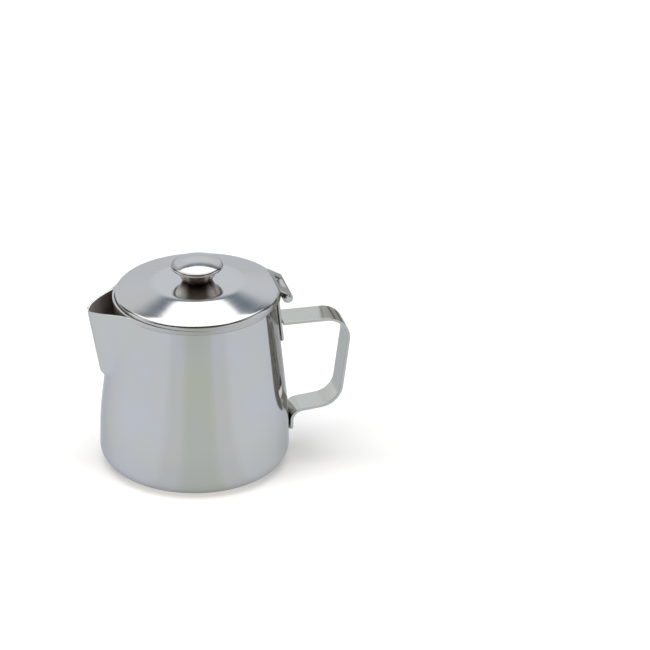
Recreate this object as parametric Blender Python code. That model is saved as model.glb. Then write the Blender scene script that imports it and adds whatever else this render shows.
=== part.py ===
"""A small stainless steel teapot: drawn body, pressed beak, strap handle and a hinged lid with a knob.

Metres, +Z up. The origin is the middle of the base, on the table. The handle is at +X, the beak at -X.
"""
import math

import bmesh
import bpy
from mathutils import Matrix, Vector

# Fits shared by all pieces
SEAT_GAP = 0.0003            # between two pieces that are welded or rest on each other
MERGE = 1e-7
ARC_STEP = math.radians(24)  # longest step along a rounded corner
CORNER_STEPS = 5             # of a strap's rounded end
SHARP_ANGLE = math.radians(35)
STEEL_SHADE = (0.55, 0.55, 0.56, 1.0)
STEEL_ROUGHNESS = 0.12

# Body: the wall's outside, as a foot, a steep belly wall and a long cone
FOOT_RADIUS = 0.0477         # where the belly wall would meet the table
FOOT_FILLET = 0.0092
SHOULDER_RADIUS = 0.0472
SHOULDER_HEIGHT = 0.0266
SHOULDER_BEND = 0.16         # radius of the soft bend between belly wall and cone
RIM_RADIUS = 0.0402
RIM_HEIGHT = 0.0901
WALL = 0.0008
BEAD_RADIUS = 0.0009         # rolled rim
BEAD_TUCK = math.radians(70)  # how far the roll turns back under, to the wall
GROOVE_RADIUS = 0.0315       # ring pressed into the base to stiffen it
GROOVE_WIDTH = 0.003
GROOVE_DEPTH = 0.0006
BODY_SEGMENTS = 60

# Beak: pressed from sheet, sharp below and round at the lip
BEAK_WALL = 0.0008
BEAK_REACH = 0.0144          # lip's tip beyond the rim's wall
BEAK_TIP_DROP = 0.0029       # lip's tip below the rim
BEAK_LIP_BOW = 0.001         # how far the lip bows up between wall and tip
BEAK_HALF_WIDTH = 0.0172     # at the lip
BEAK_NOSE = 0.0053           # plan radius of the lip's tip
BEAK_FOOT_HEIGHT = 0.0496
BEAK_CHIN = 0.0042           # height of the rounded lower end
BEAK_CHIN_CURVE = 1.7        # 1 is a straight bevel, 2 a round chin
BEAK_FOOT_REACH = 0.0038     # above the chin
BEAK_FOOT_HALF_WIDTH = 0.0056
BEAK_FOOT_NOSE = 0.0018
BEAK_CHIN_WIDTH = 0.6        # share of the width left at the very foot
BEAK_ROWS = 12
BEAK_CHIN_ROWS = 4
BEAK_COLUMNS = 14

# Strainer: holes through the body wall behind the beak
HOLE_RADIUS = 0.0015
HOLE_PITCH = 0.0048
HOLE_MARGIN = 0.004          # from the beak's edges to the nearest hole centres
HOLE_TOP_DROP = 0.011        # from the rim's bead to the highest row, out of sight from above
HOLE_SIDES = 10
HOLE_REACH = 0.006           # of the cutters, to each side of the wall

# Hinge: a pin through two lid knuckles and one body knuckle
PIN_RADIUS = 0.0012
PIN_CLEARANCE = 0.0003
PIN_HEAD_RADIUS = 0.0018
PIN_HEAD = 0.0007
LEAF = 0.0011                # sheet of both hinge leaves
HINGE_STANDOFF = 0.0012      # barrel to rim bead
HINGE_DROP = 0.0013          # axis below the rim's top
BODY_KNUCKLE = 0.011
LID_KNUCKLE = 0.006
KNUCKLE_GAP = 0.0003
STRAP_FOOT_HEIGHT = 0.0607   # lower end of the body leaf
STRAP_CORNER = 0.0045
STRAP_STRAIGHT = 0.005       # below the axis, where the body leaf leaves the wall
BODY_CURL = math.radians(275)
LID_CURL = math.radians(255)

# Lid
LID_RADIUS = 0.0412
LID_OFFSET = 0.0017          # lid's centre towards the hinge, so that its edge reaches over the rim there
LID_GAP = 0.00085            # hem above the rim, in the middle
LID_LEAN = math.radians(1.35)  # the closed lid stands higher at the hinge and dips into the rim at the beak
LID_HEM = 0.002
LID_EDGE_BEND = 0.0016
LID_CONE_RISE = 0.0048
LID_TOP_RADIUS = 0.022
LID_TOP_BEND = 0.02
LID_CROWN = 0.0006
LID_SHEET = 0.0008
LID_LEAF_OVERLAP = 0.003     # how deep the hinge leaf is let into the lid's edge

# Knob
KNOB_FOOT_RADIUS = 0.0073
KNOB_NECK_BULGE = 0.0003     # how far the stem's waist stays inside a straight cone
KNOB_FLARE_RADIUS = 0.0116
KNOB_STEM_HEIGHT = 0.0065
KNOB_RADIUS = 0.013
KNOB_DOME_RADIUS = 0.033     # of the ball that the shallow dome is a cap of
KNOB_DOME_STEPS = 6
KNOB_LIP_RADIUS = 0.0012     # rounded edge of the dome
KNOB_LIP_TUCK = 0.0004       # how far the edge reaches down past the stem's top
KNOB_LIP_TURN = math.radians(80)  # how far the edge turns under
KNOB_FLARE_STEPS = 5
KNOB_WALL = 0.0008
BOSS_WALL = 0.0017
KNOB_SEGMENTS = 36

# Screw that holds the knob from under the lid
SCREW_RADIUS = 0.002
SCREW_CLEARANCE = 0.0003
SCREW_HEAD_RADIUS = 0.0036
SCREW_HEAD = 0.0022
SCREW_SLOT = 0.001
SCREW_GRIP = 0.0055          # length inside the knob
WASHER_RADIUS = 0.0046
WASHER = 0.0008
SCREW_SEGMENTS = 20

# Handle: one flat strap, its centre line given by four corners
HANDLE_WIDTH = 0.015
HANDLE_THICKNESS = 0.0015
HANDLE_TOP_HEIGHT = 0.07245
HANDLE_TOP_REACH = 0.079
HANDLE_TOP_BEND = 0.0113
HANDLE_LOW_REACH = 0.073
HANDLE_LOW_HEIGHT = 0.0252
HANDLE_LOW_BEND = 0.0115
HANDLE_TAIL_HEIGHT = 0.0227  # where the lower leg meets the wall
HANDLE_TAIL_BEND = 0.0058
HANDLE_TAIL_END = 0.0117
HANDLE_TAIL_CORNER = 0.004
HANDLE_EDGE = 0.0003
HANDLE_EDGE_ANGLE = math.radians(50)

# Sizes that follow from those above
BEAD_CENTRE = RIM_RADIUS - WALL + BEAD_RADIUS
BEAD_OUTSIDE = BEAD_CENTRE + BEAD_RADIUS
BORE_RADIUS = PIN_RADIUS + PIN_CLEARANCE
BARREL_RADIUS = BORE_RADIUS + LEAF
HINGE_X = BEAD_OUTSIDE + HINGE_STANDOFF + BARREL_RADIUS
HINGE_Z = RIM_HEIGHT - HINGE_DROP
LEAF_HALF_WIDTH = BODY_KNUCKLE / 2 + KNUCKLE_GAP + LID_KNUCKLE
LID_EDGE_BOTTOM = RIM_HEIGHT + LID_GAP
LID_EDGE_TOP = LID_EDGE_BOTTOM + LID_HEM
LID_CONE_TOP = LID_EDGE_TOP + LID_CONE_RISE
LID_TOP = LID_CONE_TOP + LID_CROWN
LID_CHORD = LID_OFFSET + LID_RADIUS - LID_LEAF_OVERLAP
SCREW_BORE = SCREW_RADIUS + SCREW_CLEARANCE
KNOB_FOOT = LID_TOP + SEAT_GAP
KNOB_STEM_TOP = KNOB_FOOT + KNOB_STEM_HEIGHT
KNOB_LIP_HEIGHT = KNOB_STEM_TOP + KNOB_LIP_RADIUS - KNOB_LIP_TUCK
WASHER_TOP = LID_TOP - LID_SHEET - SEAT_GAP
SCREW_HEAD_TOP = WASHER_TOP - WASHER - SEAT_GAP


def clear_scene():
    for obj in list(bpy.data.objects):
        bpy.data.objects.remove(obj)


def lerp(a, b, t):
    return a + (b - a) * t


def arc(centre, radius, start, end):
    """Points on an arc from one angle to another, both ends included."""
    steps = max(2, math.ceil(abs(end - start) / ARC_STEP))
    angles = [lerp(start, end, i / steps) for i in range(steps + 1)]
    return [Vector((centre[0] + radius * math.cos(a), centre[1] + radius * math.sin(a))) for a in angles]


def rounded_path(corners):
    """A path through the corners (x, z, radius), each inner corner rounded to its radius."""
    points = [Vector(corners[0][:2])]
    for before, corner, after in zip(corners, corners[1:], corners[2:]):
        points += corner_arc(Vector(before[:2]), Vector(corner[:2]), Vector(after[:2]), corner[2])
    points.append(Vector(corners[-1][:2]))
    return points


def corner_arc(before, corner, after, radius):
    into = (corner - before).normalized()
    out = (after - corner).normalized()
    turn = math.atan2(into.x * out.y - into.y * out.x, into.dot(out))
    side = math.copysign(1.0, turn)
    start = corner - into * radius * math.tan(abs(turn) / 2)
    centre = start + Vector((-into.y, into.x)) * radius * side
    first = math.atan2(start.y - centre.y, start.x - centre.x)
    return arc(centre, radius, first, first + turn)


def offset_path(points, distance):
    """The path moved to its left by a distance."""
    moved = []
    for i, point in enumerate(points):
        into = (point - points[i - 1]).normalized() if i > 0 else None
        out = (points[i + 1] - point).normalized() if i + 1 < len(points) else None
        into = into or out
        out = out or into
        normal = Vector((-into.y - out.y, into.x + out.x)).normalized()
        moved.append(point + normal * distance / normal.dot(Vector((-into.y, into.x))))
    return moved


def turned(profile, segments, closed=False, centre=0.0):
    """A piece turned about an upright axis at x = centre, from a profile of (radius, height) points."""
    bm = bmesh.new()
    verts = [bm.verts.new((r, 0.0, z)) for r, z in profile]
    edges = [bm.edges.new(pair) for pair in zip(verts, verts[1:])]
    if closed:
        edges.append(bm.edges.new((verts[-1], verts[0])))
    bmesh.ops.spin(bm, geom=verts + edges, cent=(0, 0, 0), axis=(0, 0, 1), dvec=(0, 0, 0),
                   angle=math.tau, steps=segments, use_merge=True)
    bmesh.ops.remove_doubles(bm, verts=bm.verts, dist=MERGE)
    bmesh.ops.recalc_face_normals(bm, faces=bm.faces)
    bmesh.ops.translate(bm, verts=bm.verts, vec=(centre, 0, 0))
    return bm


def bent_strip(centre_line, thickness, width):
    """A flat strip bent along a path in the XZ plane, centred on Y."""
    outline = offset_path(centre_line, thickness / 2) + offset_path(centre_line, -thickness / 2)[::-1]
    bm = bmesh.new()
    face = bm.faces.new([bm.verts.new((x, -width / 2, z)) for x, z in outline])
    grown = bmesh.ops.extrude_face_region(bm, geom=[face])["geom"]
    moved = [item for item in grown if isinstance(item, bmesh.types.BMVert)]
    bmesh.ops.translate(bm, verts=moved, vec=(0, width, 0))
    bmesh.ops.recalc_face_normals(bm, faces=bm.faces)
    return bm


def round_lower_end(bm, lowest, thickness, radius):
    """Rounds the two corners of a strip's lower end, in the strip's own plane."""
    near = lowest + thickness
    corners = []
    for edge in bm.edges:
        a, b = (vert.co for vert in edge.verts)
        if max(a.z, b.z) < near and abs(a.y - b.y) < MERGE and abs(a.x - b.x) > thickness / 2:
            corners.append(edge)
    bmesh.ops.bevel(bm, geom=corners, offset=radius, segments=CORNER_STEPS, profile=0.5, affect="EDGES")


def box(low, high):
    bm = bmesh.new()
    bmesh.ops.create_cube(bm, size=1.0)
    for vert in bm.verts:
        vert.co = Vector([lerp(a, b, c + 0.5) for a, b, c in zip(low, high, vert.co)])
    return bm


def steel(name):
    material = bpy.data.materials.new(name + "_steel")
    material.use_nodes = True
    shader = material.node_tree.nodes["Principled BSDF"]
    shader.inputs["Base Color"].default_value = STEEL_SHADE
    shader.inputs["Metallic"].default_value = 1.0
    shader.inputs["Roughness"].default_value = STEEL_ROUGHNESS
    return material


def add_piece(name, bm, parent=None):
    mesh = bpy.data.meshes.new(name)
    bm.to_mesh(mesh)
    bm.free()
    mesh.shade_smooth()
    mesh.set_sharp_from_angle(angle=SHARP_ANGLE)
    piece = bpy.data.objects.new(name, mesh)
    bpy.context.collection.objects.link(piece)
    mesh.materials.append(steel(name))
    if parent:
        piece.parent = parent
        piece.matrix_parent_inverse = parent.matrix_world.inverted()
    return piece


def cut(piece, name, bm):
    """Cuts a piece with a hidden cutter that moves with it."""
    mesh = bpy.data.meshes.new(name)
    bm.to_mesh(mesh)
    bm.free()
    cutter = bpy.data.objects.new(name, mesh)
    bpy.context.collection.objects.link(cutter)
    cutter.parent = piece.parent
    cutter.matrix_parent_inverse = piece.matrix_parent_inverse.copy()
    cutter.hide_render = True
    cutter.display_type = "WIRE"
    modifier = piece.modifiers.new(name, "BOOLEAN")
    modifier.operation = "DIFFERENCE"
    modifier.solver = "EXACT"
    modifier.object = cutter


def wall_path():
    """The wall's outside from the middle of the base up to the rim's bead."""
    bead_foot = RIM_HEIGHT - 2 * BEAD_RADIUS
    return rounded_path([
        (GROOVE_RADIUS + GROOVE_WIDTH, 0.0, 0.0),
        (FOOT_RADIUS, 0.0, FOOT_FILLET),
        (SHOULDER_RADIUS, SHOULDER_HEIGHT, SHOULDER_BEND),
        (cone_radius(bead_foot), bead_foot, 0.0),
    ])


def cone_radius(z):
    return lerp(SHOULDER_RADIUS, RIM_RADIUS, (z - SHOULDER_HEIGHT) / (RIM_HEIGHT - SHOULDER_HEIGHT))


def wall_radius(z):
    """The wall's outside above the foot fillet, without the rim's bead."""
    belly = lerp(FOOT_RADIUS, SHOULDER_RADIUS, z / SHOULDER_HEIGHT)
    return belly if z < SHOULDER_HEIGHT else cone_radius(z)


def base_groove(height):
    """The pressed ring, from its inner edge to its outer edge."""
    inner = GROOVE_RADIUS - GROOVE_WIDTH / 2
    outer = GROOVE_RADIUS + GROOVE_WIDTH / 2
    return [
        Vector((inner - GROOVE_DEPTH, height)),
        Vector((inner, height + GROOVE_DEPTH)),
        Vector((outer, height + GROOVE_DEPTH)),
        Vector((outer + GROOVE_DEPTH, height)),
    ]


def body_shell():
    outside = [Vector((0.0, 0.0))] + base_groove(0.0) + wall_path()
    bead = arc((BEAD_CENTRE, RIM_HEIGHT - BEAD_RADIUS), BEAD_RADIUS, -BEAD_TUCK, math.pi)
    inside = [Vector((0.0, WALL))] + base_groove(WALL) + offset_path(wall_path(), WALL)
    body = add_piece("body_shell", turned(outside + bead + inside[::-1], BODY_SEGMENTS))
    cut(body, "strainer_holes", strainer_holes())


def strainer_holes():
    """Rows of round cutters along X, as far as the beak covers the wall."""
    bm = bmesh.new()
    top = RIM_HEIGHT - 2 * BEAD_RADIUS - HOLE_TOP_DROP
    rows = int((top - BEAK_FOOT_HEIGHT - BEAK_CHIN - HOLE_MARGIN) / HOLE_PITCH) + 1
    for row in range(rows):
        z = top - row * HOLE_PITCH
        half = beak_half_width(beak_share(z)) - HOLE_MARGIN
        count = max(1, int(2 * half / HOLE_PITCH) + 1)
        for i in range(count):
            add_hole(bm, (i - (count - 1) / 2) * HOLE_PITCH, z)
    bmesh.ops.recalc_face_normals(bm, faces=bm.faces)
    return bm


def add_hole(bm, y, z):
    made = bmesh.ops.create_cone(bm, cap_ends=True, segments=HOLE_SIDES, radius1=HOLE_RADIUS,
                                 radius2=HOLE_RADIUS, depth=2 * HOLE_REACH)
    for vert in made["verts"]:
        along = vert.co.z - math.sqrt(wall_radius(z) ** 2 - y ** 2)
        vert.co = Vector((along, y + vert.co.x, z + vert.co.y))


def beak_share(z):
    """0 above the chin, 1 at the lip."""
    low = BEAK_FOOT_HEIGHT + BEAK_CHIN
    return (z - low) / (RIM_HEIGHT - low)


def beak_chin(z):
    """Rounds the beak's lower end: 0 at its foot, 1 from the chin's top up."""
    share = min(1.0, (z - BEAK_FOOT_HEIGHT) / BEAK_CHIN)
    return 1.0 - (1.0 - max(0.0, share)) ** BEAK_CHIN_CURVE


def beak_half_width(share):
    return lerp(BEAK_FOOT_HALF_WIDTH, BEAK_HALF_WIDTH, share)


def beak_seat(z):
    """Radius at which the beak's edges sit on the body, clear of the rim's bead."""
    on_bead = z > RIM_HEIGHT - 2 * BEAD_RADIUS
    return (BEAD_OUTSIDE if on_bead else wall_radius(z)) + SEAT_GAP


def beak_outside(row, column):
    """A point of the beak's outside: row 0 at its foot, column 0 at one edge."""
    across = 2 * column / BEAK_COLUMNS - 1
    lip = RIM_HEIGHT - SEAT_GAP - BEAK_TIP_DROP * (1 - across ** 2)
    lip += 4 * BEAK_LIP_BOW * abs(across) * (1 - abs(across))
    z = lerp(BEAK_FOOT_HEIGHT, lip, beak_row_height(row))
    share = beak_share(z)
    seat = beak_seat(z)
    reach = lerp(BEAK_FOOT_REACH, BEAK_REACH, share) * beak_chin(z)
    half = beak_half_width(share) * lerp(BEAK_CHIN_WIDTH, 1.0, beak_chin(z))
    nose = lerp(BEAK_FOOT_NOSE, BEAK_NOSE, max(0.0, share))
    depth = wall_radius(z) + SEAT_GAP + reach - math.sqrt(seat ** 2 - half ** 2)
    y = half * across
    return Vector((beak_setback(y, half, depth, nose) - depth - math.sqrt(seat ** 2 - half ** 2), y, z))


def beak_setback(y, half, depth, nose):
    """How far a point at y lies behind the tip: round at the nose, straight towards the edges."""
    slope = (half ** 2 - 2 * nose * depth) / depth ** 2
    if slope <= 0:
        return depth * (y / half) ** 2
    return (math.sqrt(nose ** 2 + slope * y ** 2) - nose) / slope


def beak_row_height(row):
    """Rows close together in the chin, and even above it."""
    chin = BEAK_CHIN / (RIM_HEIGHT - BEAK_FOOT_HEIGHT)
    if row < BEAK_CHIN_ROWS:
        return chin * (1 - math.cos(math.pi / 2 * row / BEAK_CHIN_ROWS))
    return lerp(chin, 1.0, (row - BEAK_CHIN_ROWS) / (BEAK_ROWS - BEAK_CHIN_ROWS))


def beak_inside(outside, row, column):
    """The point one sheet thickness in from the outside, kept clear of the body wall."""
    up = outside[min(row + 1, BEAK_ROWS)][column] - outside[max(row - 1, 0)][column]
    along = outside[row][min(column + 1, BEAK_COLUMNS)] - outside[row][max(column - 1, 0)]
    point = outside[row][column] + up.cross(along).normalized() * BEAK_WALL
    if row == BEAK_ROWS:
        point.z = outside[row][column].z
    radius = math.hypot(point.x, point.y)
    out = max(1.0, beak_seat(point.z) / radius)
    return Vector((point.x * out, point.y * out, point.z))


def spout_beak():
    rows = range(BEAK_ROWS + 1)
    columns = range(BEAK_COLUMNS + 1)
    outside = [[beak_outside(r, c) for c in columns] for r in rows]
    inside = [[beak_inside(outside, r, c) for c in columns] for r in rows]
    bm = bmesh.new()
    skins = [[[bm.verts.new(point) for point in row] for row in skin] for skin in (outside, inside)]
    for skin in skins:
        for low, high in zip(skin, skin[1:]):
            add_quads(bm, low, high)
    outer, inner = skins
    for edge in (lambda skin: skin[0], lambda skin: skin[-1],
                 lambda skin: [row[0] for row in skin], lambda skin: [row[-1] for row in skin]):
        add_quads(bm, edge(outer), edge(inner))
    bmesh.ops.recalc_face_normals(bm, faces=bm.faces)
    add_piece("spout_beak", bm)


def add_quads(bm, low, high):
    for i in range(len(low) - 1):
        bm.faces.new((low[i], low[i + 1], high[i + 1], high[i]))


def handle_strap():
    tail_x = wall_radius(HANDLE_TAIL_END) + SEAT_GAP + HANDLE_THICKNESS / 2
    top_end = strap_outside(HANDLE_TOP_HEIGHT) + SEAT_GAP
    path = rounded_path([
        (top_end, HANDLE_TOP_HEIGHT, 0.0),
        (HANDLE_TOP_REACH, HANDLE_TOP_HEIGHT, HANDLE_TOP_BEND),
        (HANDLE_LOW_REACH, HANDLE_LOW_HEIGHT, HANDLE_LOW_BEND),
        (tail_x, HANDLE_TAIL_HEIGHT, HANDLE_TAIL_BEND),
        (tail_x, HANDLE_TAIL_END, 0.0),
    ])
    bm = bent_strip(path, HANDLE_THICKNESS, HANDLE_WIDTH)
    round_lower_end(bm, HANDLE_TAIL_END, HANDLE_THICKNESS, HANDLE_TAIL_CORNER)
    handle = add_piece("handle_strap", bm)
    soften = handle.modifiers.new("edges", "BEVEL")
    soften.width = HANDLE_EDGE
    soften.segments = 1
    soften.limit_method = "ANGLE"
    soften.angle_limit = HANDLE_EDGE_ANGLE


def strap_outside(z):
    """Outer face of the hinge's body leaf, where it lies along the cone."""
    return wall_radius(z) + SEAT_GAP + LEAF


def hinge_strap():
    middle = BORE_RADIUS + LEAF / 2
    leave = HINGE_Z - STRAP_STRAIGHT
    path = [
        Vector((strap_outside(STRAP_FOOT_HEIGHT) - LEAF / 2, STRAP_FOOT_HEIGHT)),
        Vector((strap_outside(leave) - LEAF / 2, leave)),
    ]
    path += arc((HINGE_X, HINGE_Z), middle, math.pi, math.pi - BODY_CURL)
    bm = bent_strip(path, LEAF, BODY_KNUCKLE)
    round_lower_end(bm, STRAP_FOOT_HEIGHT, LEAF, STRAP_CORNER)
    add_piece("hinge_strap", bm)


def lid_hinge_leaf(lid_axis):
    middle = BORE_RADIUS + LEAF / 2
    start_x = LID_CHORD + SEAT_GAP
    start = leaned_point(start_x, lid_outside_height(start_x - LID_OFFSET) - LEAF / 2)
    to_axis = Vector((HINGE_X, HINGE_Z)) - start
    slope = math.atan2(to_axis.y, to_axis.x) + math.asin(middle / to_axis.length)
    touch = slope + math.pi / 2
    path = [start] + arc((HINGE_X, HINGE_Z), middle, touch, touch - LID_CURL)
    leaf = add_piece("lid_hinge_leaf", bent_strip(path, LEAF, 2 * LEAF_HALF_WIDTH), parent=lid_axis)
    half = BODY_KNUCKLE / 2 + KNUCKLE_GAP
    edge = HINGE_X - BARREL_RADIUS - KNUCKLE_GAP
    far = HINGE_X + 2 * BARREL_RADIUS
    notch = box((edge, -half, HINGE_Z - 2 * BARREL_RADIUS), (far, half, HINGE_Z + 3 * BARREL_RADIUS))
    cut(leaf, "knuckle_notch", notch)


def hinge_pin(lid_axis):
    shaft = LEAF_HALF_WIDTH + KNUCKLE_GAP
    end = shaft + PIN_HEAD
    dome = PIN_HEAD_RADIUS - PIN_HEAD / 2
    rim = lerp(shaft, end, 0.5)
    half = [(PIN_RADIUS, shaft), (PIN_HEAD_RADIUS, shaft), (PIN_HEAD_RADIUS, rim), (dome, end)]
    profile = [(0.0, end)] + half[::-1] + [(r, -y) for r, y in half] + [(0.0, -end)]
    bm = turned(profile, SCREW_SEGMENTS)
    for vert in bm.verts:
        vert.co = Vector((HINGE_X + vert.co.x, -vert.co.z, HINGE_Z + vert.co.y))
    add_piece("hinge_pin", bm, parent=lid_axis)


def lid_path():
    """The lid's outside from the screw hole to the hem's lower edge."""
    crown = LID_CROWN * (SCREW_BORE / LID_TOP_RADIUS) ** 2
    return rounded_path([
        (SCREW_BORE, LID_TOP - crown, 0.0),
        (LID_TOP_RADIUS, LID_CONE_TOP, LID_TOP_BEND),
        (LID_RADIUS, LID_EDGE_TOP, LID_EDGE_BEND),
        (LID_RADIUS, LID_EDGE_BOTTOM, 0.0),
    ])


def lid_outside_height(radius):
    """Height of the lid's cone at a radius, before it leans."""
    share = (LID_RADIUS - radius) / (LID_RADIUS - LID_TOP_RADIUS)
    return lerp(LID_EDGE_TOP, LID_CONE_TOP, share)


def leaned_point(x, z):
    """A point of the lid's middle section, moved as the lid leans."""
    middle = Vector((LID_OFFSET, LID_EDGE_TOP))
    return Matrix.Rotation(LID_LEAN, 2) @ (Vector((x, z)) - middle) + middle


def leaned(bm):
    """A piece of the lid, made upright and then leaned with the lid."""
    middle = (LID_OFFSET, 0.0, LID_EDGE_TOP)
    bmesh.ops.rotate(bm, verts=bm.verts, cent=middle, matrix=Matrix.Rotation(-LID_LEAN, 3, "Y"))
    return bm


def lid_shell(lid_axis):
    outside = lid_path()
    inside = offset_path(outside, -LID_SHEET)
    bm = leaned(turned(outside + inside[::-1], BODY_SEGMENTS, closed=True, centre=LID_OFFSET))
    lid = add_piece("lid_shell", bm, parent=lid_axis)
    half = LEAF_HALF_WIDTH + SEAT_GAP
    notch = box((LID_CHORD, -half, RIM_HEIGHT - LID_HEM), (LID_CHORD + LID_RADIUS, half, LID_TOP))
    cut(lid, "leaf_notch", leaned(notch))


def knob_cap(lid_axis):
    lip_x = KNOB_RADIUS - KNOB_LIP_RADIUS
    reach = KNOB_DOME_RADIUS - KNOB_LIP_RADIUS
    ball_z = KNOB_LIP_HEIGHT - math.sqrt(reach ** 2 - lip_x ** 2)
    edge = math.asin(lip_x / reach)
    dome = dome_path(ball_z, KNOB_DOME_RADIUS, edge)
    lip = arc((lip_x, KNOB_LIP_HEIGHT), KNOB_LIP_RADIUS, math.pi / 2 - edge, -KNOB_LIP_TURN)
    inner = KNOB_DOME_RADIUS - KNOB_WALL
    inside = dome_path(ball_z, inner, math.asin((KNOB_FLARE_RADIUS + SEAT_GAP) / inner))
    inside.append(Vector((KNOB_FLARE_RADIUS + SEAT_GAP, lip[-1].y)))
    profile = dome + lip[1:] + inside[::-1]
    add_piece("knob_cap", leaned(turned(profile, KNOB_SEGMENTS, centre=LID_OFFSET)), parent=lid_axis)


def dome_path(ball_z, radius, edge):
    """A shallow cap's outline from its top, on the axis, to the angle of its edge."""
    angles = [edge * i / KNOB_DOME_STEPS for i in range(KNOB_DOME_STEPS + 1)]
    return [Vector((radius * math.sin(a), ball_z + radius * math.cos(a))) for a in angles]


def flare(foot_radius, foot, top_radius, top):
    """A trumpet-shaped side, from its foot to its wide top."""
    side = []
    for i in range(KNOB_FLARE_STEPS + 1):
        t = i / KNOB_FLARE_STEPS
        waist = 4 * KNOB_NECK_BULGE * t * (1 - t)
        side.append(Vector((lerp(foot_radius, top_radius, t) - waist, lerp(foot, top, t))))
    return side


def knob_stem(lid_axis):
    floor = KNOB_FOOT + KNOB_WALL
    boss = SCREW_BORE + BOSS_WALL
    boss_top = KNOB_FOOT + SCREW_GRIP + KNOB_WALL
    outside = flare(KNOB_FOOT_RADIUS, KNOB_FOOT, KNOB_FLARE_RADIUS, KNOB_STEM_TOP)
    inside = flare(KNOB_FOOT_RADIUS - KNOB_WALL, floor, KNOB_FLARE_RADIUS - KNOB_WALL, KNOB_STEM_TOP)
    profile = [Vector((SCREW_BORE, KNOB_FOOT))] + outside + inside[::-1]
    profile += [Vector((boss, floor)), Vector((boss, boss_top)), Vector((SCREW_BORE, boss_top))]
    bm = turned(profile, KNOB_SEGMENTS, closed=True, centre=LID_OFFSET)
    add_piece("knob_stem", leaned(bm), parent=lid_axis)


def knob_washer(lid_axis):
    top = WASHER_TOP
    low = WASHER_TOP - WASHER
    profile = [(SCREW_BORE, top), (WASHER_RADIUS, top), (WASHER_RADIUS, low), (SCREW_BORE, low)]
    bm = turned(profile, SCREW_SEGMENTS, closed=True, centre=LID_OFFSET)
    add_piece("knob_washer", leaned(bm), parent=lid_axis)


def knob_screw(lid_axis):
    tip = KNOB_FOOT + SCREW_GRIP
    low = SCREW_HEAD_TOP - SCREW_HEAD
    rounding = SCREW_HEAD / 2
    profile = [(0.0, tip), (SCREW_RADIUS, tip), (SCREW_RADIUS, SCREW_HEAD_TOP)]
    profile += [(SCREW_HEAD_RADIUS, SCREW_HEAD_TOP), (SCREW_HEAD_RADIUS, low + rounding)]
    profile += [(SCREW_HEAD_RADIUS - rounding, low), (0.0, low)]
    bm = turned(profile, SCREW_SEGMENTS, centre=LID_OFFSET)
    screw = add_piece("knob_screw", leaned(bm), parent=lid_axis)
    near = LID_OFFSET - 2 * SCREW_HEAD_RADIUS
    far = LID_OFFSET + 2 * SCREW_HEAD_RADIUS
    slot = box((near, -SCREW_SLOT / 2, low - rounding), (far, SCREW_SLOT / 2, low + rounding))
    cut(screw, "driver_slot", leaned(slot))


def main():
    clear_scene()
    lid_axis = bpy.data.objects.new("lid_axis", None)
    lid_axis.location = (HINGE_X, 0.0, HINGE_Z)
    bpy.context.collection.objects.link(lid_axis)
    bpy.context.view_layer.update()
    body_shell()
    spout_beak()
    handle_strap()
    hinge_strap()
    for make in (lid_hinge_leaf, hinge_pin, lid_shell, knob_cap, knob_stem, knob_washer, knob_screw):
        make(lid_axis)


main()
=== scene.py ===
# Polished steel teapot: fine meshes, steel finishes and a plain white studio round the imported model.
# Metres, +Z up. The origin is the middle of the base, the handle is at +X and the beak at -X.
import math

import bmesh
import bpy
from mathutils import Matrix, Vector


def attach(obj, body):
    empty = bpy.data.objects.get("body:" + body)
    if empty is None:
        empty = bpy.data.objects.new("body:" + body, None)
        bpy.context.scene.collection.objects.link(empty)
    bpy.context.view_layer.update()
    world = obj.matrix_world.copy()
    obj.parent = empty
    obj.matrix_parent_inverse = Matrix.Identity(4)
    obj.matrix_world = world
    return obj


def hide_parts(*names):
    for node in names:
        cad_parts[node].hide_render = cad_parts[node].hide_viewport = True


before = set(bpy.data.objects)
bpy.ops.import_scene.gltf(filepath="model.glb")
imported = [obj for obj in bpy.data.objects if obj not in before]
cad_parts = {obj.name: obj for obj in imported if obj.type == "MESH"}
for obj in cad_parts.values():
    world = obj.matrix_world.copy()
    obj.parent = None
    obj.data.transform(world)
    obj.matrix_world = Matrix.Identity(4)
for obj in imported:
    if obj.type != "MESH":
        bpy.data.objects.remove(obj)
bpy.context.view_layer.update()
print("frame loaded with", len(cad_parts), "nodes")


# Small helpers

millimetre = 0.001
meshing = {
    "arcStep": 4.0, "smallArcStep": 12.0,  # degrees
    "smallArc": 0.003, "straightStep": 0.003, "samePoint": 1e-7, "mergeWithin": 1e-6,
    "fewestSteps": 8, "softSegments": 3,
    "sharpFrom": 32.0, "softFrom": 40.0,  # degrees between two faces
}
softStep = {"interpolation_type": "SMOOTHSTEP"}
asColor = {"data_type": "RGBA"}  # a Mix node then takes its colours at 6 and 7 and gives socket 2


def inMetres(sizes):
    return {name: value * millimetre for name, value in sizes.items()}


def toLinear(hexText):  # sRGB hex to linear RGBA
    channels = [int(hexText[i:i + 2], 16) / 255 for i in (1, 3, 5)]
    return [c / 12.92 if c <= 0.04045 else ((c + 0.055) / 1.055) ** 2.4 for c in channels] + [1.0]


def addNode(tree, kind, inputs=None, **settings):
    node = tree.nodes.new("ShaderNode" + kind)
    for key, value in settings.items():
        setattr(node, key, value)
    for key, value in (inputs or {}).items():
        if isinstance(value, bpy.types.NodeSocket):
            tree.links.new(value, node.inputs[key])
        else:
            node.inputs[key].default_value = value
    return node


def lerp(a, b, t):
    return a + (b - a) * t


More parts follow.
